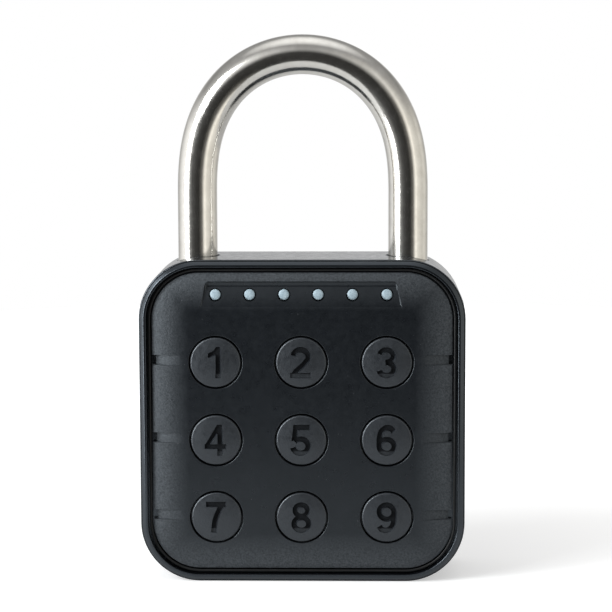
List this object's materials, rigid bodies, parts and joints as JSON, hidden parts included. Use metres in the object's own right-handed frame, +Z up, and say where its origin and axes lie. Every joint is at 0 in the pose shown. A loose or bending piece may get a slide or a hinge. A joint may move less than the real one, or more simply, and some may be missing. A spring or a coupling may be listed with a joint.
{
  "type": "keypad and fingerprint padlock",
  "caption": "Square black padlock with a round steel bow, a keypad and a row of lamps on its front, a finger reader in its back and a charging port underneath.",
  "frame": {"origin": "centre of the bounding box's bottom face, under the middle of the case", "axes": "+Z up along the shackle's legs, -Y towards the keypad, +X to the right as the keypad is read"},
  "size_m": [0.0654, 0.022, 0.11],
  "materials": {
    "black_case": "satin black paint on die-cast zinc",
    "black_panel": "matt charcoal with a fine moulded grain",
    "key_plastic": "matt, a little lighter than the panel",
    "black_rubber": "matt",
    "grey_silicone": "matt translucent silicone",
    "lamp_plastic": "frosted pale blue light pipe",
    "lamp_chip": "moulded lamp chips on a white strip",
    "polished_steel": "polished, with fine draw lines",
    "plain_steel": "plain turned or stamped steel",
    "spring_steel": "drawn wire",
    "brass": "machined",
    "green_board": "solder mask",
    "chip_black": "moulded epoxy",
    "motor_steel": "plated can",
    "grey_plastic": "moulded",
    "battery_wrap": "shrink wrap, no printing",
    "nickel": "nickel plate",
    "red_wire": "wire jacket",
    "blue_wire": "wire jacket",
    "reader_glass": "smooth black sensor face",
    "bezel_metal": "dark anodised",
    "amber_film": "polyimide film"
  },
  "bodies": {
    "case": {"case_body": "black_case", "front_panel": "black_panel", "panel_gasket": "black_rubber", "keypad_mat": "grey_silicone", "light_guide": "lamp_plastic", "led_strip": "lamp_chip", "main_board": "green_board", "control_chip": "chip_black", "radio_module": "plain_steel", "buzzer": "chip_black", "shackle_spring": "spring_steel", "retaining_pin": "plain_steel", "shackle_seal_left": "black_rubber", "shackle_seal_right": "black_rubber", "bolt_spring_left": "spring_steel", "bolt_spring_right": "spring_steel", "lock_motor": "motor_steel", "motor_cradle": "grey_plastic", "cradle_screw_left": "plain_steel", "cradle_screw_right": "plain_steel", "cover_screw": "plain_steel", "battery": "battery_wrap", "battery_contact_left": "nickel", "battery_contact_right": "nickel", "battery_lead_left": "blue_wire", "battery_lead_right": "red_wire", "motor_lead_left": "blue_wire", "motor_lead_right": "red_wire", "usb_socket": "nickel", "fingerprint_sensor": "reader_glass", "sensor_bezel": "bezel_metal", "sensor_board": "green_board", "sensor_screw_left": "plain_steel", "sensor_screw_right": "plain_steel", "sensor_ribbon": "amber_film", "board_screw_left": "plain_steel", "board_screw_right": "plain_steel"},
    "shackle": {"shackle": "polished_steel", "spring_cap": "plain_steel"},
    "cam": {"lock_cam": "brass", "motor_shaft": "plain_steel"},
    "bolt_left": {"locking_bolt_left": "plain_steel"},
    "bolt_right": {"locking_bolt_right": "plain_steel"},
    "plug": {"port_plug": "black_rubber"},
    "key_1": {"key_1": "key_plastic"},
    "key_2": {"key_2": "key_plastic"},
    "key_3": {"key_3": "key_plastic"},
    "key_4": {"key_4": "key_plastic"},
    "key_5": {"key_5": "key_plastic"},
    "key_6": {"key_6": "key_plastic"},
    "key_7": {"key_7": "key_plastic"},
    "key_8": {"key_8": "key_plastic"},
    "key_9": {"key_9": "key_plastic"}
  },
  "joints": [
    {"name": "shackle_lift", "type": "slide", "parent": "case", "child": "shackle", "axis": [0, 0, 1], "range_m": [0, 0.0145], "deforming": ["shackle_spring"]},
    {"name": "cam_turn", "type": "hinge", "parent": "case", "child": "cam", "pos_m": [0, 0, 0.0575], "axis": [0, 0, 1], "range_deg": [0, 90.5]},
    {"name": "bolt_left_slide", "type": "slide", "parent": "case", "child": "bolt_left", "axis": [-1, 0, 0], "range_m": [0, 0.002], "deforming": ["bolt_spring_left"]},
    {"name": "bolt_right_slide", "type": "slide", "parent": "case", "child": "bolt_right", "axis": [1, 0, 0], "range_m": [0, 0.00201], "deforming": ["bolt_spring_right"]},
    {"name": "plug_swing", "type": "hinge", "parent": "case", "child": "plug", "pos_m": [-0.0062, -0.0036, 0.0006], "axis": [0, 1, 0], "range_deg": [0, 90]},
    {"name": "key_1_press", "type": "slide", "parent": "case", "child": "key_1", "axis": [0, 1, 0], "range_m": [0, 0.0006], "stiffness_N_per_m": 500, "springref_m": -0.0004, "deforming": ["keypad_mat"]},
    {"name": "key_2_press", "type": "slide", "parent": "case", "child": "key_2", "axis": [0, 1, 0], "range_m": [0, 0.0006], "stiffness_N_per_m": 500, "springref_m": -0.0004, "deforming": ["keypad_mat"]},
    {"name": "key_3_press", "type": "slide", "parent": "case", "child": "key_3", "axis": [0, 1, 0], "range_m": [0, 0.0006], "stiffness_N_per_m": 500, "springref_m": -0.0004, "deforming": ["keypad_mat"]},
    {"name": "key_4_press", "type": "slide", "parent": "case", "child": "key_4", "axis": [0, 1, 0], "range_m": [0, 0.0006], "stiffness_N_per_m": 500, "springref_m": -0.0004, "deforming": ["keypad_mat"]},
    {"name": "key_5_press", "type": "slide", "parent": "case", "child": "key_5", "axis": [0, 1, 0], "range_m": [0, 0.0006], "stiffness_N_per_m": 500, "springref_m": -0.0004, "deforming": ["keypad_mat"]},
    {"name": "key_6_press", "type": "slide", "parent": "case", "child": "key_6", "axis": [0, 1, 0], "range_m": [0, 0.0006], "stiffness_N_per_m": 500, "springref_m": -0.0004, "deforming": ["keypad_mat"]},
    {"name": "key_7_press", "type": "slide", "parent": "case", "child": "key_7", "axis": [0, 1, 0], "range_m": [0, 0.0006], "stiffness_N_per_m": 500, "springref_m": -0.0004, "deforming": ["keypad_mat"]},
    {"name": "key_8_press", "type": "slide", "parent": "case", "child": "key_8", "axis": [0, 1, 0], "range_m": [0, 0.0006], "stiffness_N_per_m": 500, "springref_m": -0.0004, "deforming": ["keypad_mat"]},
    {"name": "key_9_press", "type": "slide", "parent": "case", "child": "key_9", "axis": [0, 1, 0], "range_m": [0, 0.0006], "stiffness_N_per_m": 500, "springref_m": -0.0004, "deforming": ["keypad_mat"]}
  ],
  "couplings": [
    {"joint": "cam_turn", "follows": "bolt_left_slide", "rad_per_m": 785.4},
    {"joint": "bolt_right_slide", "follows": "bolt_left_slide", "ratio": 1}
  ]
}
